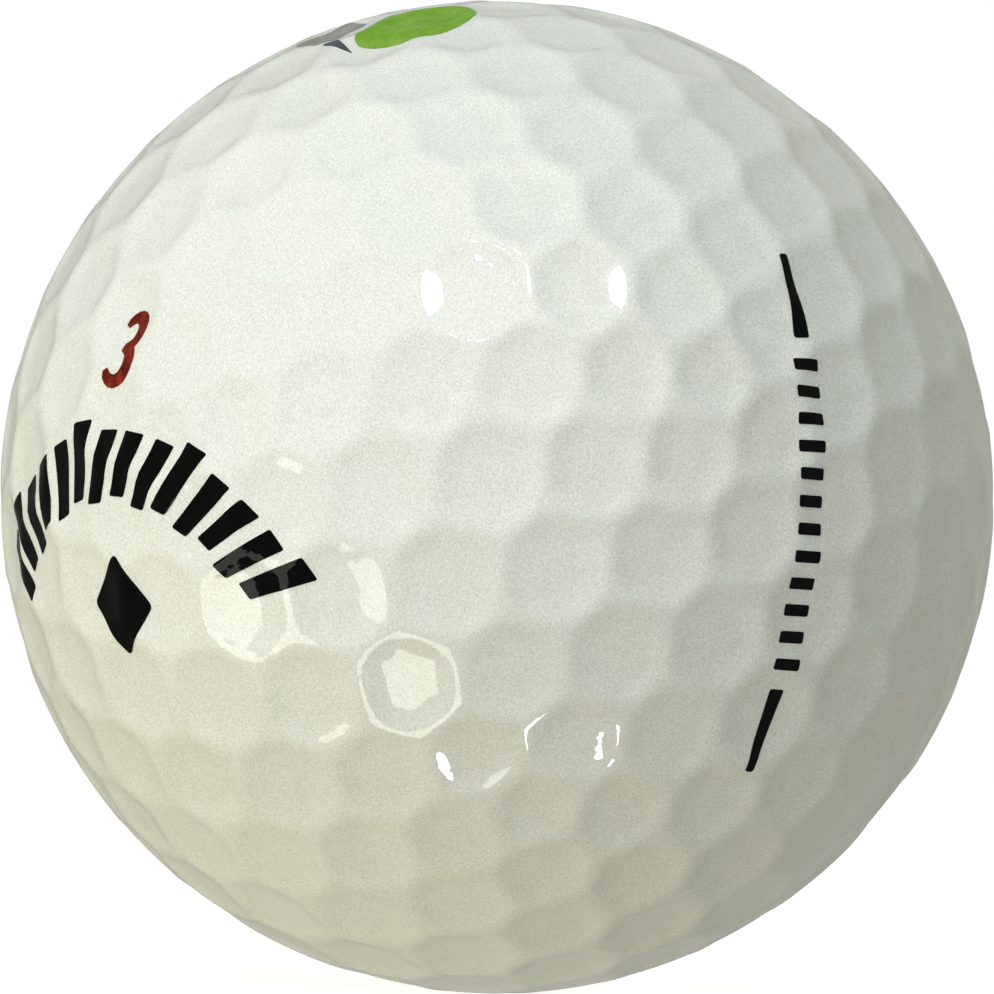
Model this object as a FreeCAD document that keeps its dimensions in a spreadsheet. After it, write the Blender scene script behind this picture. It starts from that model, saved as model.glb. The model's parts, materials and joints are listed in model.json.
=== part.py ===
import FreeCAD, Part
import math
import os

# A golf ball, millimetres, +Z up, origin at the ball's centre.
# Core, mantle, dimpled cover and thin ink films, all bonded together.

Vector = FreeCAD.Vector
doc = FreeCAD.newDocument("golf_ball")

# driving dimensions, all plain millimetres or degrees
sheet = doc.addObject("Spreadsheet::Sheet", "Sizes")
rows = [
    ("ball_diameter", "42.67"),
    ("cover_thickness", "1.4"),
    ("mantle_thickness", "1.3"),
    ("dimple_depth", "0.26"),
    ("ink_thickness", "0.05"),
    ("seam_row_latitude", "5.2"),
    ("seam_twist", "42"),
    ("layout_yaw", "15.38"),
    ("layout_pitch", "-19.55"),
    ("layout_roll", "178.92"),
]
for line, (alias, value) in enumerate(rows, start=1):
    sheet.set("A%d" % line, alias)
    sheet.set("B%d" % line, value)
    sheet.setAlias("B%d" % line, alias)
doc.recompute()

radius = sheet.ball_diameter / 2.0
depth = float(sheet.dimple_depth)
ink = float(sheet.ink_thickness)


def ico_points(steps):
    """Points of an icosahedron whose faces are divided into equal triangles, with a corner at +Z."""
    low = 1 / math.sqrt(5)
    wide = 2 / math.sqrt(5)
    corners = [Vector(0, 0, 1)]
    for k in range(5):
        turn = math.radians(72 * k)
        corners.append(Vector(wide * math.cos(turn), wide * math.sin(turn), low))
    for k in range(5):
        turn = math.radians(72 * k + 36)
        corners.append(Vector(wide * math.cos(turn), wide * math.sin(turn), -low))
    corners.append(Vector(0, 0, -1))
    faces = []
    for k in range(5):
        n = (k + 1) % 5
        faces += [(0, 1 + k, 1 + n), (1 + k, 6 + k, 1 + n)]
        faces += [(1 + n, 6 + k, 6 + n), (11, 6 + n, 6 + k)]
    found = []
    for a, b, c in faces:
        for i in range(steps + 1):
            for j in range(steps + 1 - i):
                spot = corners[a] * i + corners[b] * j + corners[c] * (steps - i - j)
                spot.normalize()
                if all((spot - other).Length > 0.02 for other in found):
                    found.append(spot)
    return found


def dimple_centres():
    """Two 166-dimple halves that meet, staggered, on the moulding seam."""
    upper = [p for p in ico_points(6) if p.z > 0.03]
    lowest = math.asin(min(p.z for p in upper))
    stretch = math.radians(90 - sheet.seam_row_latitude) / (math.pi / 2 - lowest)
    twist = math.radians(sheet.seam_twist)
    tilt = FreeCAD.Rotation(sheet.layout_yaw, sheet.layout_pitch, sheet.layout_roll)
    centres = []
    for side in (1, -1):
        for p in upper:
            polar = math.acos(max(-1.0, min(1.0, p.z))) * stretch
            turn = math.atan2(p.y, p.x) + (twist if side < 0 else 0)
            spot = Vector(math.sin(polar) * math.cos(turn),
                          math.sin(polar) * math.sin(turn),
                          side * math.cos(polar))
            centres.append(tilt.multVec(spot))
    return centres


def neighbour_triples(centres):
    """Every three dimples that share a corner, counter-clockwise seen from outside."""
    triples = []
    for i, p in enumerate(centres):
        near = sorted((p.dot(q) * -1, j) for j, q in enumerate(centres) if j != i and p.dot(q) > 0.90)
        near = [j for gap, j in near[:9]]
        for j in near:
            for k in near:
                if not (i < j and i < k) or j == k:
                    continue
                axis = (centres[j] - p).cross(centres[k] - p)
                if axis.Length < 1e-6:
                    continue
                axis.normalize()
                if axis.dot(p) < 0:
                    continue
                reach = axis.dot(p)
                if reach < 0.985:
                    continue
                if all(axis.dot(centres[m]) < reach + 1e-9 for m in near if m not in (j, k)):
                    triples.append((i, j, k))
    return triples


class Dimpled:
    """The dimple net: every dimple is a bowl of one radius, its depth set by the size of its cell."""

    def __init__(self, ridge_radius):
        self.centres = dimple_centres()
        self.triples = neighbour_triples(self.centres)
        mean = math.radians(6.93)
        rise = ridge_radius * math.cos(mean) - (ridge_radius - depth)
        half = ridge_radius * math.sin(mean)
        self.bowl = (half * half + rise * rise) / (2 * rise)
        reach = [[] for p in self.centres]
        for i, j, k in self.triples:
            axis = (self.centres[j] - self.centres[i]).cross(self.centres[k] - self.centres[i])
            axis.normalize()
            angle = math.acos(axis.dot(self.centres[i]))
            for m in (i, j, k):
                reach[m].append(angle)
        self.hubs = []
        for p, angles in zip(self.centres, reach):
            angle = sum(angles) / len(angles)
            far = ridge_radius * math.cos(angle)
            far += math.sqrt(self.bowl ** 2 - (ridge_radius * math.sin(angle)) ** 2)
            self.hubs.append(p * far)

    def corner(self, triple, bowl):
        """Where the bowls of three neighbours meet."""
        a, b, c = [self.hubs[m] for m in triple]
        u = b - a
        v = c - a
        n = u.cross(v)
        middle = a + (v.cross(n) * u.dot(u) + n.cross(u) * v.dot(v)) * (0.5 / n.dot(n))
        n.normalize()
        step = math.sqrt(bowl ** 2 - (middle - a).dot(middle - a))
        ends = [middle + n * step, middle - n * step]
        return min(ends, key=lambda q: q.Length)

    def solid(self, lift=0.0):
        """A closed ball with one spherical face per dimple, lifted off the bowls by lift."""
        bowl = self.bowl - lift
        corners = {}
        around = [[] for p in self.centres]
        for triple in self.triples:
            corners[triple] = self.corner(triple, bowl)
            for m in triple:
                around[m].append(triple)
        edges = {}
        faces = []
        reach = 0.14
        for i, p in enumerate(self.centres):
            side = p.cross(Vector(0, 0, 1) if abs(p.z) < 0.9 else Vector(1, 0, 0))
            side.normalize()
            other = p.cross(side)

            def bearing(triple):
                spot = corners[triple]
                return math.atan2(spot.dot(other), spot.dot(side))

            ring = sorted(around[i], key=bearing)
            loop = []
            for a, b in zip(ring, ring[1:] + ring[:1]):
                key = frozenset((a, b))
                if key not in edges:
                    j = [m for m in a if m in b and m != i][0]
                    middle = (self.hubs[i] + self.hubs[j]) * 0.5
                    size = math.sqrt(bowl ** 2 - (self.hubs[i] - self.hubs[j]).Length ** 2 / 4)
                    aim = (corners[a] + corners[b]) * 0.5 - middle
                    aim.normalize()
                    edges[key] = Part.Arc(corners[a], middle + aim * size, corners[b]).toShape()
                loop.append(edges[key])
            # the bowl's own sphere, turned so that its seam is far from the dimple
            surface = Part.Sphere()
            surface.Radius = bowl
            surface.rotate(FreeCAD.Placement(Vector(0, 0, 0), FreeCAD.Rotation(p, side, other, "XYZ")))
            surface.translate(self.hubs[i])
            patch = Part.RectangularTrimmedSurface(surface, math.pi - reach, math.pi + reach, -reach, reach)
            wire = Part.Wire(Part.__sortEdges__(loop))
            tries = []
            for way in (wire, wire.reversed()):
                face = Part.Face(patch, way)
                face.fix(1e-5, 1e-5, 1e-5)
                if face.isValid():
                    tries.append(face)
            faces.append(min(tries, key=lambda f: f.Area))
        skin = Part.makeCompound(faces)
        skin.sewShape(1e-4)
        ball = Part.Solid(skin.Shells[0])
        if ball.Volume < 0:
            ball.reverse()
        return ball


net = Dimpled(radius)
highest = max(net.corner(triple, net.bowl).Length for triple in net.triples)
net = Dimpled(radius - (highest - radius))
highest = max(net.corner(triple, net.bowl).Length for triple in net.triples)
print("dimples", len(net.centres), "corners", len(net.triples), "bowl radius", round(net.bowl, 2))
print("highest ridge corner", round(highest, 4), "shallowest and deepest bowl bottoms",
      [round(f(h.Length - net.bowl for h in net.hubs), 3) for f in (max, min)])

# ---- core, mantle and cover ----


def sphere(name, label, size):
    item = doc.addObject("Part::Sphere", name)
    item.Label = label
    item.setExpression("Radius", size)
    return item


mantle_size = "Sizes.ball_diameter / 2 - Sizes.cover_thickness"
core_size = "Sizes.ball_diameter / 2 - Sizes.cover_thickness - Sizes.mantle_thickness"
core = sphere("Core", "core", core_size)
mantle_outside = sphere("MantleOutside", "mantle_outside", mantle_size)
mantle_inside = sphere("MantleInside", "mantle_inside", core_size)
mantle = doc.addObject("Part::Cut", "Mantle")
mantle.Label = "mantle"
mantle.Base = mantle_outside
mantle.Tool = mantle_inside

dimpled_ball = doc.addObject("Part::Feature", "DimpledBall")
dimpled_ball.Shape = net.solid()
dimpled_ball.Placement = FreeCAD.Placement()
cover_inside = sphere("CoverInside", "cover_inside", mantle_size)
cover = doc.addObject("Part::Cut", "Cover")
cover.Label = "cover"
cover.Base = dimpled_ball
cover.Tool = cover_inside

# ---- ink ----
# Every mark is a stencil of flat-sided wedges that point at the ball's centre. Between the cover
# and the same net lifted by the ink's thickness, the stencil leaves a film that follows the dimples.

inked_ball = doc.addObject("Part::Feature", "InkedBall")
inked_ball.Shape = net.solid(ink)
inked_ball.Placement = FreeCAD.Placement()


def pole_spot(x, y):
    """Direction of a point x right and y up of the -X pole, in millimetres along the surface."""
    far = math.hypot(x, y)
    angle = far / radius
    if far < 1e-9:
        return Vector(-1, 0, 0)
    return Vector(-math.cos(angle), -math.sin(angle) * x / far, math.sin(angle) * y / far)


def belt_spot(along, aside):
    """Direction of a point on the belt at X = 0: along from -Y towards +Z, aside towards +X."""
    turn = along / radius
    lean = aside / radius
    return Vector(math.sin(lean), -math.cos(turn) * math.cos(lean), math.sin(turn) * math.cos(lean))


def wedge(outline, caps):
    """Solid between 0.93 and 1.05 radii over an outline of directions, its ends cut into triangles."""
    inner = [p * radius * 0.93 for p in outline]
    outer = [p * radius * 1.05 for p in outline]
    faces = []
    for k in range(len(outline)):
        n = (k + 1) % len(outline)
        faces.append(Part.Face(Part.makePolygon([inner[k], inner[n], outer[n], outer[k], inner[k]])))
    for a, b, c in caps:
        faces.append(Part.Face(Part.makePolygon([outer[a], outer[b], outer[c], outer[a]])))
        faces.append(Part.Face(Part.makePolygon([inner[a], inner[b], inner[c], inner[a]])))
    skin = Part.makeCompound(faces)
    skin.sewShape(1e-5)
    body = Part.Solid(skin.Shells[0])
    if body.Volume < 0:
        body.reverse()
    return body


def plate(corners, spot):
    """Wedge over a convex outline."""
    return wedge([spot(x, y) for x, y in corners], [(0, k, k + 1) for k in range(1, len(corners) - 1)])


def ribbon(path, width, slant, spot):
    """Wedge over a stroke of one width along a path, leaning by slant."""
    left = []
    right = []
    for k, (x, y) in enumerate(path):
        before = path[max(0, k - 1)]
        after = path[min(len(path) - 1, k + 1)]
        along = math.hypot(after[0] - before[0], after[1] - before[1])
        side = (-(after[1] - before[1]) / along * width / 2, (after[0] - before[0]) / along * width / 2)
        left.append((x + side[0] + slant * (y + side[1]), y + side[1]))
        right.append((x - side[0] + slant * (y - side[1]), y - side[1]))
    count = len(path)
    outline = left + right[::-1]
    caps = []
    for k in range(count - 1):
        far = 2 * count - 1 - k
        caps += [(k, k + 1, far), (k + 1, far - 1, far)]
    return wedge([spot(x, y) for x, y in outline], caps)


def arc_path(centre_x, centre_y, size_x, size_y, start, stop, steps):
    angles = [math.radians(start + (stop - start) * k / steps) for k in range(steps + 1)]
    return [(centre_x + size_x * math.cos(a), centre_y + size_y * math.sin(a)) for a in angles]


def film(name, label, wedges):
    stencil = doc.addObject("Part::Feature", name + "Stencil")
    stencil.Shape = wedges[0] if len(wedges) == 1 else Part.makeCompound(wedges)
    stencil.Placement = FreeCAD.Placement()
    inside = doc.addObject("Part::Common", name + "Inside")
    inside.Base = stencil
    inside.Tool = inked_ball
    item = doc.addObject("Part::Cut", name)
    item.Label = label
    item.Base = inside
    item.Tool = dimpled_ball
    return item


# play number: a plain 3, 3.3 mm tall, above the emblem
number_x = 0.1
number_y = 5.15
number_lean = 0.24
stroke = 0.42


def number_spot(x, y):
    return pole_spot(number_x + x, number_y + y)


top_bowl = ribbon(arc_path(0.0, 0.76, 0.58, 0.68, 160, -100, 14), stroke, number_lean, number_spot)
low_bowl = ribbon(arc_path(0.0, -0.70, 0.70, 0.74, 100, -160, 14), stroke, number_lean, number_spot)
number_print = film("NumberPrint", "number_print", [top_bowl.fuse(low_bowl)])

# emblem: an arch of plain slanted bars over a plain lozenge
arch_x = 0.5
arch_y = -10.0
bar_count = 14
bar_half = 2.7
bar_lean = 2.2
bars = []
for k in range(bar_count):
    middle = 147 - 114 * k / (bar_count - 1)
    low = 8.9 if k % 2 else 8.6
    high = 12.2 if k % 4 == 1 else 11.7
    quad = []
    for size, aside in ((low, 1), (low, -1), (high, -1), (high, 1)):
        lean = bar_lean if size == low else -bar_lean
        turn = math.radians(middle + aside * bar_half + lean)
        quad.append((arch_x + size * math.cos(turn), arch_y + size * math.sin(turn)))
    bars.append(plate(quad, pole_spot))
lozenge = [(0.8, -3.5), (-1.1, -5.7), (0.8, -7.9), (2.7, -5.7)]
bars.append(plate(lozenge, pole_spot))
emblem_print = film("EmblemPrint", "emblem_print", bars)

# side stamp: two tapered alignment bars with a row of plain ticks between them
belt_offset = -0.64
bar_inner = 7.5
bar_outer = 11.3
marks = []
for way in (1, -1):
    taper = [(way * bar_inner, belt_offset - 0.36), (way * bar_inner, belt_offset + 0.36),
             (way * bar_outer, belt_offset + 0.2), (way * bar_outer, belt_offset - 0.2)]
    marks.append(plate(taper, belt_spot))
tick_count = 12
tick_pitch = 1.15
tick_half = 0.25
tick_reach = 0.66
for k in range(tick_count):
    middle = (k - (tick_count - 1) / 2) * tick_pitch
    tick = [(middle - tick_half, belt_offset - tick_reach), (middle + tick_half, belt_offset - tick_reach),
            (middle + tick_half, belt_offset + tick_reach), (middle - tick_half, belt_offset + tick_reach)]
    marks.append(plate(tick, belt_spot))
side_print = film("SidePrint", "side_print", marks)

# custom print near +Z: a plain oval with a small wedge and a short bar beside it
oval = arc_path(31.7, -7.8, 2.45, 2.85, 0, 345, 23)
corner_wedge = [(31.9, -11.2), (34.6, -10.9), (34.2, -10.3)]
short_bar = [(35.0, -10.9), (37.4, -10.4), (37.0, -7.4), (35.4, -7.6)]
custom_print = film("CustomPrint", "custom_print", [
    plate(outline, belt_spot) for outline in (oval, corner_wedge, short_bar)])

doc.recompute()

# ---- checks and export ----

for item in doc.Objects:
    if "Invalid" in item.State or "Error" in item.State:
        raise RuntimeError("%s failed: %s" % (item.Label, item.State))

nodes = [core, mantle, cover, number_print, emblem_print, side_print, custom_print]
for item in nodes:
    if item.Shape.isNull() or not item.Shape.isValid():
        raise RuntimeError("%s has no valid shape" % item.Label)

os.makedirs("parts", exist_ok=True)
for item in nodes:
    box = item.Shape.BoundBox
    print("%-14s volume %9.3f  solids %2d  x %.2f..%.2f  y %.2f..%.2f  z %.2f..%.2f" % (
        item.Label, item.Shape.Volume, len(item.Shape.Solids),
        box.XMin, box.XMax, box.YMin, box.YMax, box.ZMin, box.ZMax))
    item.Shape.exportStep("parts/%s.step" % item.Label)
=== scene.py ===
import json
import math
import bpy
import numpy as np
from mathutils import Euler, Matrix, Vector
from mathutils.kdtree import KDTree


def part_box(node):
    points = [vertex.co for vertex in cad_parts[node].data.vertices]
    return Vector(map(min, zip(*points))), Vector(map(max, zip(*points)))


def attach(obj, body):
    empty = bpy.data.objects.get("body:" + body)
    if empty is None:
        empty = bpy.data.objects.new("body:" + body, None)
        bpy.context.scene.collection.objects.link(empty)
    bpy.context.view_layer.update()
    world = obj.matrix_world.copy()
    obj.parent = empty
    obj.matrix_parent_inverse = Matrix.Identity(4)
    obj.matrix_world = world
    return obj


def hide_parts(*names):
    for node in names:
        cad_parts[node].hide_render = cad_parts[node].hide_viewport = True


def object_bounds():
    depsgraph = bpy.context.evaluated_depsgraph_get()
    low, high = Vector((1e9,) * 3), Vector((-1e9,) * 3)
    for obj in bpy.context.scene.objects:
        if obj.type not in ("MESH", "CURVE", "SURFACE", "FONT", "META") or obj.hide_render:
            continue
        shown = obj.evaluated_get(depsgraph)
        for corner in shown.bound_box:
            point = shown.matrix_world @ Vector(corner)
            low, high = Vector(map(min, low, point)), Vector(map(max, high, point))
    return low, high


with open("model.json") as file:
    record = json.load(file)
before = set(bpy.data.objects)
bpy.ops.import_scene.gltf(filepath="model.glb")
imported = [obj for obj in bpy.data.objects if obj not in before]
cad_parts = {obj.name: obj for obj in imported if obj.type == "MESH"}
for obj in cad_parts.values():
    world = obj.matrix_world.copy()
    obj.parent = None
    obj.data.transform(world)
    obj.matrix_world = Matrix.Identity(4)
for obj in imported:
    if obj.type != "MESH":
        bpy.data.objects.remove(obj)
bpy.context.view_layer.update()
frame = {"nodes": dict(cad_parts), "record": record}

mm = 0.001

# the ball rests on its tee mount, so the mount's height gives the ball's radius
ballRadius = -frame["record"]["mounts"][0]["pos_m"][2]
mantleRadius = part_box("mantle")[1].x
print("ball radius", round(ballRadius / mm, 3), "mantle radius", round(mantleRadius / mm, 3))


# small helpers

def clearSelection():
    if bpy.context.mode != "OBJECT":
        bpy.ops.object.mode_set(mode="OBJECT")
    bpy.ops.object.select_all(action="DESELECT")


def activate(*objs):
    clearSelection()
    for obj in objs:
        obj.select_set(True)
    bpy.context.view_layer.objects.active = objs[-1]


def editAll(obj, mode="VERT"):
    activate(obj)
    bpy.ops.object.mode_set(mode="EDIT")
    bpy.ops.mesh.select_mode(type=mode)
    bpy.ops.mesh.select_all(action="SELECT")


def editChosen(obj, mode, chosen):
    # opens edit mode with only the vertices or edges that chosen() accepts
    activate(obj)
    bpy.ops.object.mode_set(mode="EDIT")
    bpy.ops.mesh.select_mode(type=mode)
    bpy.ops.mesh.select_all(action="DESELECT")
    bpy.ops.object.mode_set(mode="OBJECT")
    items = obj.data.vertices if mode == "VERT" else obj.data.edges
    for item in items:
        item.select = chosen(item)
    bpy.ops.object.mode_set(mode="EDIT")


def finishEdit():
    bpy.ops.object.mode_set(mode="OBJECT")


def applyModifier(obj, kind, **settings):
    activate(obj)
    modifier = obj.modifiers.new(kind.title(), kind)
    for key, value in settings.items():
        setattr(modifier, key, value)
    bpy.ops.object.modifier_apply(modifier=modifier.name)


def linear(code):
    # an sRGB hex code as a linear colour
    parts = [int(code[k:k + 2], 16) / 255 for k in (1, 3, 5)]
    return tuple(c / 12.92 if c <= 0.04045 else ((c + 0.055) / 1.055) ** 2.4 for c in parts) + (1.0,)


def addNode(tree, kind, settings=None, links=None):
    # settings that are socket names set the socket's value, the others set the node itself
    node = tree.nodes.new(kind)
    for key, value in (settings or {}).items():
        if isinstance(key, str) and hasattr(node, key):
            setattr(node, key, value)
        else:
            node.inputs[key].default_value = value
    for key, source in (links or {}).items():
        tree.links.new(source, node.inputs[key])
    return node


def newMaterial(name):
    # a material with its Principled shader and the piece's own coordinates
    material = bpy.data.materials.new(name)
    material.use_nodes = True
    tree = material.node_tree
    tree.nodes.clear()
    shader = addNode(tree, "ShaderNodeBsdfPrincipled")
    addNode(tree, "ShaderNodeOutputMaterial", links={"Surface": shader.outputs["BSDF"]})
    place = addNode(tree, "ShaderNodeTexCoord").outputs["Object"]
    return material, tree, shader, place


def putMaterial(obj, material):
    obj.data.materials.clear()
    obj.data.materials.append(material)


# cover: the net of dimples

coverSizes = {
    "icoCuts": 5,              # each icosahedron edge holds six dimple spacings
    "halfCut": 0.03,           # of the radius, the height below which a half has no dimples
    "seamRowLatitude": 5.2,    # degrees from the moulding seam to the first row of dimples
    "seamTwist": 42,           # degrees that one moulded half is turned against the other
    "layoutTurn": (178.92, -19.55, 15.38),   # degrees, how the whole net is turned in the ball
    "ridgeInset": 0.32,        # mm, the ring of faces that rounds the ridge
    "wallInset": 0.60,         # mm, the ring of faces down the wall
    "ridgeRound": 0.38,        # mm from the ridge line over which its top is rounded
    "wallEnd": 0.60,           # mm from the ridge line where the wall turns into the bowl
    "wallSlope": 0.235,        # depth gained for each mm across the wall
    "leastBowl": 0.05,         # mm, the narrowest a bowl may get
    "cornerSoftness": 6,       # lower is rounder inside the hexagons
    "innerGap": 0.008,         # mm between the cover's inside and the mantle
}


def makeHubs():
    # dimple centres: two halves of an evenly divided icosahedron that meet, staggered, on the seam
    cut = coverSizes["halfCut"] * ballRadius
    clearSelection()
    bpy.ops.mesh.primitive_ico_sphere_add(subdivisions=1, radius=ballRadius)
    upper = bpy.context.object
    editAll(upper)
    bpy.ops.mesh.subdivide(number_cuts=coverSizes["icoCuts"])
    finishEdit()
    for v in upper.data.vertices:
        v.co = v.co.normalized() * ballRadius
    editChosen(upper, "VERT", lambda v: v.co.z < cut)
    bpy.ops.mesh.delete(type="VERT")
    finishEdit()
    lowest = math.asin(min(v.co.z for v in upper.data.vertices) / ballRadius)
    stretch = math.radians(90 - coverSizes["seamRowLatitude"]) / (math.pi / 2 - lowest)
    for v in upper.data.vertices:
        polar = math.acos(max(-1.0, min(1.0, v.co.z / ballRadius))) * stretch
        turn = math.atan2(v.co.y, v.co.x)
        v.co = Vector((math.sin(polar) * math.cos(turn), math.sin(polar) * math.sin(turn),
                       math.cos(polar))) * ballRadius
    activate(upper)
    bpy.ops.object.duplicate()
    lower = bpy.context.object
    twist = Matrix.Rotation(math.radians(coverSizes["seamTwist"]), 3, "Z")
    for v in lower.data.vertices:
        v.co = twist @ Vector((v.co.x, v.co.y, -v.co.z))
    activate(lower, upper)
    bpy.ops.object.join()
    tilt = Euler([math.radians(a) for a in coverSizes["layoutTurn"]], "XYZ").to_matrix()
    for v in upper.data.vertices:
        v.co = tilt @ v.co
    return upper


def hullAndCells(net):
    # joins the centres into triangles, then trades triangles for corners and centres for cells
    editAll(net)
    bpy.ops.mesh.delete(type="EDGE_FACE")
    bpy.ops.mesh.select_all(action="SELECT")
    bpy.ops.mesh.convex_hull(join_triangles=False)
    bpy.ops.mesh.select_all(action="SELECT")
    bpy.ops.mesh.normals_make_consistent(inside=False)
    finishEdit()
    hubs = [v.co.copy() for v in net.data.vertices]
    count = len(hubs)
    beside = [[] for hub in hubs]
    for edge in net.data.edges:
        a, b = edge.vertices
        beside[a].append(b)
        beside[b].append(a)
    editAll(net, "FACE")
    bpy.ops.mesh.poke()
    finishEdit()
    around = {}
    for edge in net.data.edges:
        a, b = sorted(edge.vertices)
        if a < count <= b:
            around.setdefault(b, []).append(hubs[a])
    for index, (p, q, r) in around.items():
        axis = (q - p).cross(r - p).normalized()
        net.data.vertices[index].co = axis * math.copysign(ballRadius, axis.dot(p))
    editChosen(net, "EDGE", lambda e: max(e.vertices) < count)
    bpy.ops.mesh.dissolve_edges(use_verts=False)
    bpy.ops.mesh.select_all(action="SELECT")
    bpy.ops.mesh.quads_convert_to_tris(quad_method="SHORTEST_DIAGONAL")
    finishEdit()
    editChosen(net, "VERT", lambda v: v.index < count)
    bpy.ops.mesh.dissolve_verts()
    finishEdit()
    sides = [len(face.vertices) for face in net.data.polygons]
    print("dimples", len(sides), "six-sided", sides.count(6), "five-sided", sides.count(5),
          "corners", len(net.data.vertices))
    return hubs, beside


class DimpleShape:
    # the depth of the dimples at any direction from the ball's centre

    def __init__(self, hubs, beside):
        self.hubs = np.array([hub.normalized() for hub in hubs])
        self.tree = KDTree(len(hubs))
        for k, hub in enumerate(self.hubs):
            self.tree.insert(hub, k)
        self.tree.balance()
        self.walls = []
        for k, near in enumerate(beside):
            gap = self.hubs[k] - self.hubs[near]
            self.walls.append(gap / np.linalg.norm(gap, axis=1)[:, None])
        self.reach = [self.inside(k, self.hubs[k]) for k in range(len(hubs))]

    def inside(self, k, direction):
        # soft distance in mm from the nearest ridge of cell k
        far = np.arcsin(np.clip(self.walls[k] @ direction, -1, 1)) * ballRadius / mm
        far = np.maximum(far, 1e-4)
        power = coverSizes["cornerSoftness"]
        return float(np.sum(far ** -power) ** (-1 / power))

    def depth(self, direction):
        k = self.tree.find(direction)[1]
        far = self.inside(k, np.array(direction))
        top = coverSizes["ridgeRound"]
        end = coverSizes["wallEnd"]
        slope = coverSizes["wallSlope"]
        if far < top:
            return slope * far * far / (2 * top)
        if far < end:
            return slope * (far - top / 2)
        rest = max(self.reach[k] - end, coverSizes["leastBowl"])
        step = min(far - end, rest)
        return slope * (end - top / 2 + step - step * step / (2 * rest))

    def radius(self, direction):
        return ballRadius - self.depth(direction) * mm


net = makeHubs()
hubs, beside = hullAndCells(net)
shape = DimpleShape(hubs, beside)
cornerCount = len(net.data.vertices)
editAll(net, "FACE")
for ring in ("ridgeInset", "wallInset"):
    bpy.ops.mesh.inset(thickness=coverSizes[ring] * mm, depth=0.0,
                       use_individual=True, use_even_offset=True)
bpy.ops.mesh.poke()
finishEdit()
# the ridges keep their place while the rings inside them are smoothed
crease = net.data.attributes.new("crease_edge", "FLOAT", "EDGE")
for edge in net.data.edges:
    crease.data[edge.index].value = 1.0 if max(edge.vertices) < cornerCount else 0.0
applyModifier(net, "SUBSURF", levels=2, render_levels=2)
for v in net.data.vertices:
    direction = v.co.normalized()
    v.co = direction * shape.radius(direction)

clearSelection()
bpy.ops.mesh.primitive_ico_sphere_add(subdivisions=5, radius=mantleRadius + coverSizes["innerGap"] * mm)
lining = bpy.context.object
editAll(lining, "FACE")
bpy.ops.mesh.flip_normals()
finishEdit()
activate(lining, net)
bpy.ops.object.join()
cover = net
cover.name = "cover_dimpled"
cover.data.name = "cover_dimpled"
activate(cover)
bpy.ops.object.shade_smooth()
print("cover made,", sum(len(f.vertices) - 2 for f in cover.data.polygons), "triangles")


# prints: flat marks drawn in mm, laid on the ball afterwards

printSizes = {
    "lift": 0.022,       # mm that the ink's top stands above the cover
    "sunk": 0.012,       # mm that its underside goes into the cover
    "body": 0.95,        # share of its width that a brush stroke has at its ends
    "swell": 0.40,       # share that it gains in the middle
    "tipFrom": 0.88,     # the stroke's last part, where it narrows
    "tipShare": 0.12,
    "tipLoss": 0.35,     # share of its width that is gone at the very tip
    "shadeAngle": 40,    # degrees, sharper edges than this stay sharp
}


def poleSpot(x, y):
    # direction of a point x right and y up of the -X pole, mm along the surface
    far = math.hypot(x, y)
    if far < 1e-9:
        return Vector((-1, 0, 0))
    angle = far * mm / ballRadius
    return Vector((-math.cos(angle), -math.sin(angle) * x / far, math.sin(angle) * y / far))


def beltSpot(along, aside):
    # direction of a point on the belt at X = 0: along from -Y towards +Z, aside towards +X
    turn = along * mm / ballRadius
    lean = aside * mm / ballRadius
    return Vector((math.sin(lean), -math.cos(turn) * math.cos(lean), math.sin(turn) * math.cos(lean)))


def arcPath(centreX, centreY, sizeX, sizeY, start, stop, steps):
    angles = [math.radians(start + (stop - start) * k / steps) for k in range(steps + 1)]
    return [(centreX + sizeX * math.cos(a), centreY + sizeY * math.sin(a)) for a in angles]


def layOn(obj, spot, lift):
    # wraps a flat mark, drawn in mm, round the ball, then gives it the ink's thickness
    for v in obj.data.vertices:
        direction = spot(v.co.x, v.co.y)
        v.co = direction * (shape.radius(direction) + lift * mm)
    applyModifier(obj, "SHRINKWRAP", target=cover, wrap_method="NEAREST_SURFACEPOINT",
                  wrap_mode="ABOVE_SURFACE", offset=lift * mm)
    editAll(obj, "FACE")
    bpy.ops.mesh.normals_make_consistent(inside=False)
    finishEdit()
    middle = sum((f.center for f in obj.data.polygons), Vector()) / len(obj.data.polygons)
    normal = sum((f.normal for f in obj.data.polygons), Vector())
    if normal.dot(middle) < 0:
        editAll(obj, "FACE")
        bpy.ops.mesh.flip_normals()
        finishEdit()
    applyModifier(obj, "SOLIDIFY", thickness=(lift + printSizes["sunk"]) * mm, offset=-1.0)


def platePrint(corners, spot, rounding, cuts=4):
    # a filled mark with softly rounded corners
    clearSelection()
    bpy.ops.mesh.primitive_circle_add(vertices=len(corners), radius=1, fill_type="NGON")
    plate = bpy.context.object
    middle = sum((Vector((x, y, 0)) for x, y in corners), Vector()) / len(corners)
    order = sorted(range(len(corners)),
                   key=lambda k: math.atan2(corners[k][1] - middle.y, corners[k][0] - middle.x))
    turns = sorted(plate.data.vertices, key=lambda v: math.atan2(v.co.y, v.co.x))
    for v, k in zip(turns, order):
        v.co = (corners[k][0], corners[k][1], 0)
    editAll(plate)
    if rounding:
        bpy.ops.mesh.bevel(affect="VERTICES", offset=rounding, segments=3)
    bpy.ops.mesh.select_all(action="SELECT")
    bpy.ops.mesh.poke()
    bpy.ops.mesh.subdivide(number_cuts=cuts)
    finishEdit()
    layOn(plate, spot, printSizes["lift"])
    return plate


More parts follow.
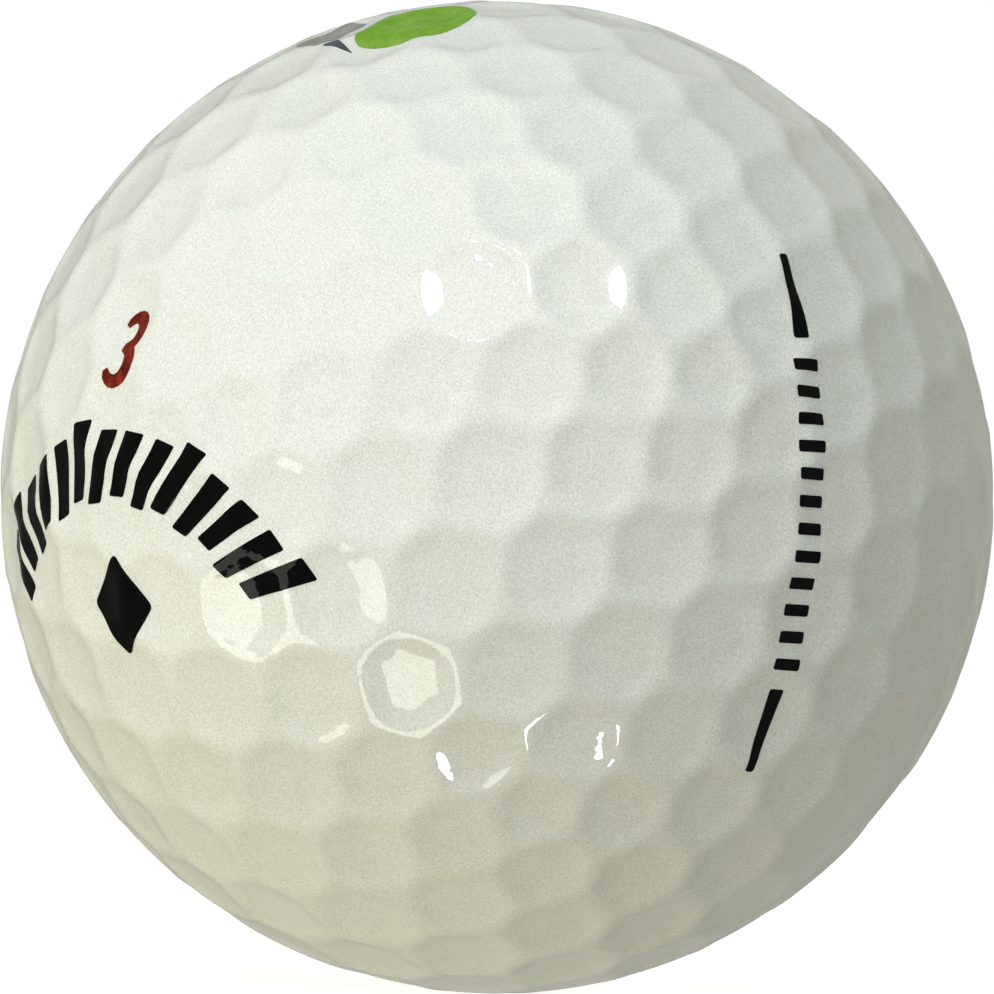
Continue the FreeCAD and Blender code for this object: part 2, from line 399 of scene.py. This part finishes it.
def ribbonPrint(path, width, slant, spot, lift):
    # a brush stroke along a path: widths swell in the middle and thin at the ends
    clearSelection()
    last = len(path) - 1
    bpy.ops.mesh.primitive_grid_add(x_subdivisions=last * 2, y_subdivisions=4, size=1)
    ribbon = bpy.context.object
    for v in ribbon.data.vertices:
        along = (v.co.x + 0.5) * last
        k = min(int(along), last - 1)
        part = along - k
        here = Vector(path[k]).lerp(Vector(path[k + 1]), part)
        before = Vector(path[max(0, k - (part < 0.5))])
        after = Vector(path[min(last, k + 1 + (part >= 0.5))])
        way = (after - before).normalized()
        wide = width * (printSizes["body"] + printSizes["swell"] * math.sin(math.pi * along / last))
        past = max(0.0, abs(along / last - 0.5) * 2 - printSizes["tipFrom"])
        tip = 1 - printSizes["tipLoss"] * past / printSizes["tipShare"]
        x = here.x - way.y * wide * tip * v.co.y
        y = here.y + way.x * wide * tip * v.co.y
        v.co = (x + slant * y, y, 0)
    layOn(ribbon, spot, lift)
    return ribbon


def joinPrint(parts, name):
    activate(*parts)
    if len(parts) > 1:
        bpy.ops.object.join()
    whole = bpy.context.object
    whole.name = name
    whole.data.name = name
    bpy.ops.object.shade_smooth_by_angle(angle=math.radians(printSizes["shadeAngle"]))
    return whole


numberSizes = {
    "x": 0.1, "y": 5.15,       # mm from the emblem's pole to the numeral's middle
    "lean": 0.24,
    "stroke": 0.46,            # mm, width of the brush stroke
    # each bow: middle x and y, half width and height, start and end in degrees, steps
    "top": (0.0, 0.76, 0.58, 0.68, 160, -100, 14),
    "low": (0.0, -0.70, 0.70, 0.74, 100, -160, 14),
    "overlap": 0.004,          # mm that the low bow stands above the top one where they cross
}


def numberSpot(x, y):
    return poleSpot(numberSizes["x"] + x, numberSizes["y"] + y)


numberPrint = joinPrint([
    ribbonPrint(arcPath(*numberSizes["top"]), numberSizes["stroke"], numberSizes["lean"],
                numberSpot, printSizes["lift"]),
    ribbonPrint(arcPath(*numberSizes["low"]), numberSizes["stroke"], numberSizes["lean"],
                numberSpot, printSizes["lift"] + numberSizes["overlap"]),
], "play_number")

emblemSizes = {
    "archX": 0.5, "archY": -10.0,    # mm, the arch's centre
    "bars": 14,
    "start": 147, "sweep": 114,      # degrees round the arch
    "half": 2.7, "lean": 2.2,        # degrees
    "inner": (8.6, 8.9), "outer": (11.7, 12.2),    # mm from the arch's centre to a bar's ends
    "lozenge": [(0.8, -3.5), (-1.1, -5.7), (0.8, -7.9), (2.7, -5.7)],
    "barRounding": 0.1, "lozengeRounding": 0.22,    # mm at the corners
}


def emblemBars():
    bars = []
    for k in range(emblemSizes["bars"]):
        middle = emblemSizes["start"] - emblemSizes["sweep"] * k / (emblemSizes["bars"] - 1)
        low = emblemSizes["inner"][k % 2]
        high = emblemSizes["outer"][1 if k % 4 == 1 else 0]
        quad = []
        for size, aside in ((low, 1), (low, -1), (high, -1), (high, 1)):
            lean = emblemSizes["lean"] * (1 if size == low else -1)
            turn = math.radians(middle + aside * emblemSizes["half"] + lean)
            quad.append((emblemSizes["archX"] + size * math.cos(turn),
                         emblemSizes["archY"] + size * math.sin(turn)))
        bars.append(platePrint(quad, poleSpot, emblemSizes["barRounding"], cuts=5))
    return bars


lozenge = platePrint(emblemSizes["lozenge"], poleSpot, emblemSizes["lozengeRounding"], cuts=7)
emblemPrint = joinPrint(emblemBars() + [lozenge], "emblem_bars")

sideSizes = {
    "offset": -0.64,                      # mm, the row's middle line from X = 0
    "barFrom": 7.5, "barTo": 11.3,        # mm along the row
    "barWide": 0.36, "barNarrow": 0.2,    # mm, half widths
    "ticks": 12, "pitch": 1.15, "half": 0.25, "reach": 0.66,
    "barRounding": 0.12, "tickRounding": 0.09,
}


def sideMarks():
    s = sideSizes
    marks = []
    for way in (1, -1):
        marks.append(platePrint([
            (way * s["barFrom"], s["offset"] - s["barWide"]),
            (way * s["barFrom"], s["offset"] + s["barWide"]),
            (way * s["barTo"], s["offset"] + s["barNarrow"]),
            (way * s["barTo"], s["offset"] - s["barNarrow"]),
        ], beltSpot, s["barRounding"], cuts=7))
    for k in range(s["ticks"]):
        middle = (k - (s["ticks"] - 1) / 2) * s["pitch"]
        marks.append(platePrint([
            (middle - s["half"], s["offset"] - s["reach"]),
            (middle + s["half"], s["offset"] - s["reach"]),
            (middle + s["half"], s["offset"] + s["reach"]),
            (middle - s["half"], s["offset"] + s["reach"]),
        ], beltSpot, s["tickRounding"], cuts=3))
    return marks


sidePrint = joinPrint(sideMarks(), "alignment_stamp")

customSizes = {
    # middle x and y, half width and height, start and end in degrees, steps
    "oval": (31.7, -7.8, 2.45, 2.85, 0, 345, 23),
    "wedge": [(31.9, -11.2), (34.6, -10.9), (34.2, -10.3)],
    "bar": [(35.0, -10.9), (37.4, -10.4), (37.0, -7.4), (35.4, -7.6)],
    "wedgeRounding": 0.1, "barRounding": 0.25,
}

ovalPrint = joinPrint([platePrint(arcPath(*customSizes["oval"]), beltSpot, 0, cuts=7)],
                      "custom_oval")
wedgePrint = joinPrint([platePrint(customSizes["wedge"], beltSpot, customSizes["wedgeRounding"])],
                       "custom_wedge")
barPrint = joinPrint([platePrint(customSizes["bar"], beltSpot, customSizes["barRounding"], cuts=6)],
                     "custom_bar")
print("prints made")


# materials

coverLook = {
    "white": "#FDFFF4", "shade": "#C8CDBC",   # ionomer with white pigment, a touch of green
    "speck": "#8E8A78",
    "mottle": 2.6,             # mm, slow change of tone
    "mottleShare": 0.12,       # how much the mottle counts beside the grain
    "grain": 0.085,            # mm, coarser and stronger than the real pigment so that it shows
    "toneFrom": 0.16, "toneTo": 0.90,
    "skinStrength": 0.15, "skinDepth": 0.01,
    "ripple": 0.55,            # mm, the clear coat's slight orange peel
    "rippleDepth": 0.009,
    "speckSpacing": 5.0,       # mm
    "speckRarity": 0.8,        # share of the spots that have no speck
    "speckCore": 0.012, "speckEdge": 0.022, "speckStrength": 0.75,
    "roughness": 0.42, "ior": 1.49, "specular": 0.2,
    "soakWeight": 0.12, "soakRadius": (1.0, 0.9, 0.7), "soakDepth": 0.6,   # light that soaks in
    "coatRoughness": 0.03, "coatIor": 1.5,
}


def coatRipple(tree, place):
    # sprayed clear coat is never quite flat, so reflections get a wavy edge
    wave = addNode(tree, "ShaderNodeTexNoise", {"Scale": 1 / (coverLook["ripple"] * mm), "Detail": 1.5},
                   {"Vector": place})
    return addNode(tree, "ShaderNodeBump", {"Strength": 1.0, "Distance": coverLook["rippleDepth"] * mm},
                   {"Height": wave.outputs["Fac"]})


def makeCoverMaterial():
    # white ionomer, moulded and clear-coated: milky body, sharp wet highlights, a few dark specks.
    # The light soaks in a little, which softens the shade inside the dimples.
    material, tree, shader, place = newMaterial("coated_white_ionomer")
    look = coverLook
    cloud = addNode(tree, "ShaderNodeTexNoise",
                    {"Scale": 1 / (look["mottle"] * mm), "Detail": 3.0, "Roughness": 0.6},
                    {"Vector": place})
    grain = addNode(tree, "ShaderNodeTexNoise",
                    {"Scale": 1 / (look["grain"] * mm), "Detail": 1.0, "Roughness": 0.6},
                    {"Vector": place})
    mix = addNode(tree, "ShaderNodeMath", {"operation": "MULTIPLY_ADD", 1: look["mottleShare"]},
                  {0: cloud.outputs["Fac"], 2: grain.outputs["Fac"]})
    tone = addNode(tree, "ShaderNodeMapRange", {"From Min": look["toneFrom"], "From Max": look["toneTo"]},
                   {"Value": mix.outputs[0]})
    body = addNode(tree, "ShaderNodeMix",
                   {"data_type": "RGBA", 6: linear(look["shade"]), 7: linear(look["white"])},
                   {0: tone.outputs[0]})
    cells = addNode(tree, "ShaderNodeTexVoronoi",
                    {"Scale": 1 / (look["speckSpacing"] * mm), "Randomness": 1.0}, {"Vector": place})
    pick = addNode(tree, "ShaderNodeSeparateColor", links={"Color": cells.outputs["Color"]})
    rare = addNode(tree, "ShaderNodeMath", {"operation": "GREATER_THAN", 1: look["speckRarity"]},
                   {0: pick.outputs[0]})
    dot = addNode(tree, "ShaderNodeMapRange",
                  {"From Min": look["speckCore"], "From Max": look["speckEdge"],
                   "To Min": look["speckStrength"], "To Max": 0.0},
                  {"Value": cells.outputs["Distance"]})
    dots = addNode(tree, "ShaderNodeMath", {"operation": "MULTIPLY"},
                   {0: rare.outputs[0], 1: dot.outputs[0]})
    colour = addNode(tree, "ShaderNodeMix", {"data_type": "RGBA", 7: linear(look["speck"])},
                     {0: dots.outputs[0], 6: body.outputs[2]})
    tree.links.new(colour.outputs[2], shader.inputs["Base Color"])
    ripple = coatRipple(tree, place)
    tree.links.new(ripple.outputs["Normal"], shader.inputs["Coat Normal"])
    skin = addNode(tree, "ShaderNodeBump",
                   {"Strength": look["skinStrength"], "Distance": look["skinDepth"] * mm},
                   {"Height": grain.outputs["Fac"], "Normal": ripple.outputs["Normal"]})
    tree.links.new(skin.outputs["Normal"], shader.inputs["Normal"])
    shader.inputs["Roughness"].default_value = look["roughness"]
    shader.inputs["IOR"].default_value = look["ior"]
    shader.inputs["Specular IOR Level"].default_value = look["specular"]
    shader.inputs["Subsurface Weight"].default_value = look["soakWeight"]
    shader.inputs["Subsurface Radius"].default_value = look["soakRadius"]
    shader.inputs["Subsurface Scale"].default_value = look["soakDepth"] * mm
    shader.inputs["Coat Weight"].default_value = 1.0
    shader.inputs["Coat Roughness"].default_value = look["coatRoughness"]
    shader.inputs["Coat IOR"].default_value = look["coatIor"]
    return material


inkLook = {
    # what all the inks share
    "fine": 0.12, "fineShare": 0.35,      # mm, the film's finest unevenness, and how much it counts
    "spread": 0.35,                       # how softly the strong ink passes into the thin
    "roughness": 0.6, "ior": 1.5,
    "coatWeight": 0.3, "coatRoughness": 0.04, "coatIor": 1.45,
}
inkColours = {
    # name: strong colour, thin colour, coverage, mm between thin places
    "dark_red_pad_ink": ("#5C170C", "#A33B28", 0.62, 0.5),
    "black_pad_ink": ("#030303", "#0E0D0B", 0.70, 0.8),
    "black_stamp_ink": ("#040405", "#101012", 0.70, 0.8),
    "green_pad_ink": ("#6A9A28", "#88B042", 0.55, 1.2),
    "slate_pad_ink": ("#40464B", "#5A6064", 0.6, 0.8),
    "grey_pad_ink": ("#85867A", "#9B9C90", 0.55, 0.8),
}


def makeInk(name):
    # pad-printed ink under the clear coat: flat and opaque, a little thinner in places.
    # The gloss comes from the coat alone, so that the ink keeps its full depth of colour.
    strong, thin, coverage, flow = inkColours[name]
    look = inkLook
    material, tree, shader, place = newMaterial(name)
    body = addNode(tree, "ShaderNodeTexNoise", {"Scale": 1 / (flow * mm), "Detail": 4.0, "Roughness": 0.65},
                   {"Vector": place})
    fine = addNode(tree, "ShaderNodeTexNoise", {"Scale": 1 / (look["fine"] * mm), "Detail": 2.0},
                   {"Vector": place})
    mix = addNode(tree, "ShaderNodeMath", {"operation": "MULTIPLY_ADD", 1: look["fineShare"]},
                  {0: fine.outputs["Fac"], 2: body.outputs["Fac"]})
    tone = addNode(tree, "ShaderNodeMapRange",
                   {"From Min": coverage, "From Max": coverage + look["spread"]},
                   {"Value": mix.outputs[0]})
    colour = addNode(tree, "ShaderNodeMix", {"data_type": "RGBA", 6: linear(strong), 7: linear(thin)},
                     {0: tone.outputs[0]})
    tree.links.new(colour.outputs[2], shader.inputs["Base Color"])
    shader.inputs["Roughness"].default_value = look["roughness"]
    shader.inputs["IOR"].default_value = look["ior"]
    shader.inputs["Specular IOR Level"].default_value = 0.0
    shader.inputs["Coat Weight"].default_value = look["coatWeight"]
    shader.inputs["Coat Roughness"].default_value = look["coatRoughness"]
    shader.inputs["Coat IOR"].default_value = look["coatIor"]
    ripple = coatRipple(tree, place)
    tree.links.new(ripple.outputs["Normal"], shader.inputs["Coat Normal"])
    tree.links.new(ripple.outputs["Normal"], shader.inputs["Normal"])
    return material


innerLooks = {
    # name: dark colour, light colour, mm between flecks, roughness, ior
    "polybutadiene_rubber": ("#5C6B7A", "#8C9AA6", 0.35, 0.7, 1.52),
    "ionomer_mantle_plastic": ("#B9B4A2", "#D5D1C2", 0.6, 0.5, 1.5),
}
innerSkin = {"strength": 0.3, "depth": 0.03}    # depth in mm


def makeInner(name):
    # moulded inner layers: matt, with a fine fleck of filler
    dark, light, grainSize, roughness, ior = innerLooks[name]
    material, tree, shader, place = newMaterial(name)
    fleck = addNode(tree, "ShaderNodeTexNoise",
                    {"Scale": 1 / (grainSize * mm), "Detail": 5.0, "Roughness": 0.7},
                    {"Vector": place})
    colour = addNode(tree, "ShaderNodeMix", {"data_type": "RGBA", 6: linear(dark), 7: linear(light)},
                     {0: fleck.outputs["Fac"]})
    tree.links.new(colour.outputs[2], shader.inputs["Base Color"])
    skin = addNode(tree, "ShaderNodeBump",
                   {"Strength": innerSkin["strength"], "Distance": innerSkin["depth"] * mm},
                   {"Height": fleck.outputs["Fac"]})
    tree.links.new(skin.outputs["Normal"], shader.inputs["Normal"])
    shader.inputs["Roughness"].default_value = roughness
    shader.inputs["IOR"].default_value = ior
    return material


putMaterial(cover, makeCoverMaterial())
for piece, inkName in (
        (numberPrint, "dark_red_pad_ink"), (emblemPrint, "black_pad_ink"),
        (sidePrint, "black_stamp_ink"), (ovalPrint, "green_pad_ink"),
        (wedgePrint, "slate_pad_ink"), (barPrint, "grey_pad_ink")):
    putMaterial(piece, makeInk(inkName))
putMaterial(frame["nodes"]["core"], makeInner("polybutadiene_rubber"))
putMaterial(frame["nodes"]["mantle"], makeInner("ionomer_mantle_plastic"))

for piece, node, slotName in (
        (cover, "cover", "cover"), (numberPrint, "number_print", "red_ink"),
        (emblemPrint, "emblem_print", "black_ink"), (sidePrint, "side_print", "side_ink"),
        (ovalPrint, "custom_print", "green_ink"), (wedgePrint, "custom_print", "green_ink"),
        (barPrint, "custom_print", "green_ink")):
    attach(piece, "root")
    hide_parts(node)
print("materials on, pieces ride the ball")


# floor, lights and camera

stageSizes = {
    "floor": "#A4A4A2", "floorRoughness": 0.9,
    "floorGlow": 0.78,         # keeps the floor near white and the ball's shadow faint
    "floorWidth": 0.8,         # metres, it ends before the part that no lamp reaches
    "backdrop": "#FFFFFF", "backdropRadius": 1.9,
    "ambient": 0.35, "ambientTint": "#FFFEF4",
    "lampDistance": 0.5,       # metres from the ball's centre to each lamp
}


def cameraOnly(thing):
    # the camera sees it, but it neither lights the ball nor shows in its gloss
    for flag in ("visible_diffuse", "visible_glossy", "visible_transmission", "visible_shadow"):
        setattr(thing, flag, False)


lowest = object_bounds()[0][2]
clearSelection()
bpy.ops.mesh.primitive_plane_add(size=stageSizes["floorWidth"], location=(0, 0, lowest))
floor = bpy.context.object
floor.name = "floor"
floorMaterial, tree, shader, place = newMaterial("matt_pale_board")
shader.inputs["Base Color"].default_value = linear(stageSizes["floor"])
shader.inputs["Roughness"].default_value = stageSizes["floorRoughness"]
shader.inputs["Emission Color"].default_value = linear("#FFFFFF")
shader.inputs["Emission Strength"].default_value = stageSizes["floorGlow"]
putMaterial(floor, floorMaterial)
cameraOnly(floor)

clearSelection()
bpy.ops.mesh.primitive_uv_sphere_add(segments=32, ring_count=16, radius=stageSizes["backdropRadius"])
backdrop = bpy.context.object
backdrop.name = "backdrop"
glow = bpy.data.materials.new("white_backdrop")
glow.use_nodes = True
glow.node_tree.nodes.clear()
emission = addNode(glow.node_tree, "ShaderNodeEmission",
                   {"Color": linear(stageSizes["backdrop"]), "Strength": 1.0})
addNode(glow.node_tree, "ShaderNodeOutputMaterial", links={"Surface": emission.outputs[0]})
putMaterial(backdrop, glow)
cameraOnly(backdrop)
backdrop.visible_volume_scatter = False

world = bpy.data.worlds.new("studio_fill")
bpy.context.scene.world = world
world.use_nodes = True
world.node_tree.nodes.clear()
fill = addNode(world.node_tree, "ShaderNodeBackground",
               {"Color": linear(stageSizes["ambientTint"]), "Strength": stageSizes["ambient"]})
addNode(world.node_tree, "ShaderNodeOutputWorld", links={"Surface": fill.outputs[0]})

cameraSizes = {
    "distance": 0.4267,        # metres, ten ball widths
    "lens": 359.5, "sensor": 36,
    "clipStart": 0.01,
    "right": (0.7714, -0.6329, 0.0659),
    "up": (-0.0547, 0.0372, 0.9978),
}
clearSelection()
bpy.ops.object.camera_add()
camera = bpy.context.object
right = Vector(cameraSizes["right"]).normalized()
up = Vector(cameraSizes["up"])
up = (up - right * up.dot(right)).normalized()
back = right.cross(up)
turn = Matrix((right, up, back)).transposed().to_4x4()
camera.matrix_world = Matrix.Translation(back * cameraSizes["distance"]) @ turn
camera.data.lens = cameraSizes["lens"]
camera.data.sensor_width = cameraSizes["sensor"]
camera.data.clip_start = cameraSizes["clipStart"]
bpy.context.scene.camera = camera
bpy.context.scene.view_settings.view_transform = "Standard"

# Each lamp's direction is across, up and back towards the camera as it is set above, and its
# place is worked out once, in the ball's frame, so the lamps stay put when the camera moves.
softLamps = {
    # these light the ball's body and don't show in its gloss
    # name: direction, power, colour, width
    "soft_top": ((-0.35, 0.80, 0.45), 1.43, "#FAFBFF", 0.30),
    "cool_top": ((0.00, 0.55, 0.83), 0.45, "#80B7FF", 0.30),
    "soft_front": ((-0.49, -0.21, 0.84), 0.95, "#FFF1DD", 0.30),
    "warm_low": ((-0.70, -0.60, -0.35), 0.74, "#FEFFDE", 0.30),
    "edge_right": ((0.85, 0.20, -0.50), 0.20, "#FFFFC0", 0.30),
    "back_fill": ((0.10, 0.45, -0.90), 1.10, "#FFFFFF", 0.30),
}
sparkLamps = {
    # these show only in the gloss
    "spark_top": ((0.09, 0.757, 0.645), 1.60, "#FFFDF4", 0.07),
    "spark_small": ((-0.12, 0.66, 0.74), 0.04, "#FFFDF4", 0.018),
    "patch_left": ((-0.745, -0.37, 0.555), 0.36, "#FFFFF0", 0.20),
    "patch_low": ((-0.32, -0.69, 0.65), 0.14, "#FFFFF0", 0.11),
    "spark_low": ((0.16, -0.81, 0.56), 0.25, "#FFFDF4", 0.045),
    "back_glow": ((0.10, -0.30, -0.95), 0.10, "#FFFFF4", 0.90),
}


def areaLight(name, direction, power, colour, width):
    clearSelection()
    aim = (right * direction[0] + up * direction[1] + back * direction[2]).normalized()
    bpy.ops.object.light_add(type="AREA", location=aim * stageSizes["lampDistance"])
    lamp = bpy.context.object
    lamp.name = name
    lamp.data.energy = power
    lamp.data.color = linear(colour)[:3]
    lamp.data.shape = "DISK"
    lamp.data.size = width
    lamp.rotation_euler = (-aim).to_track_quat("-Z", "Y").to_euler()
    lamp.visible_camera = False
    return lamp


for name, lampSizes in softLamps.items():
    areaLight(name, *lampSizes).visible_glossy = False
for name, lampSizes in sparkLamps.items():
    areaLight(name, *lampSizes).visible_diffuse = False
print("stage, lights and camera set")
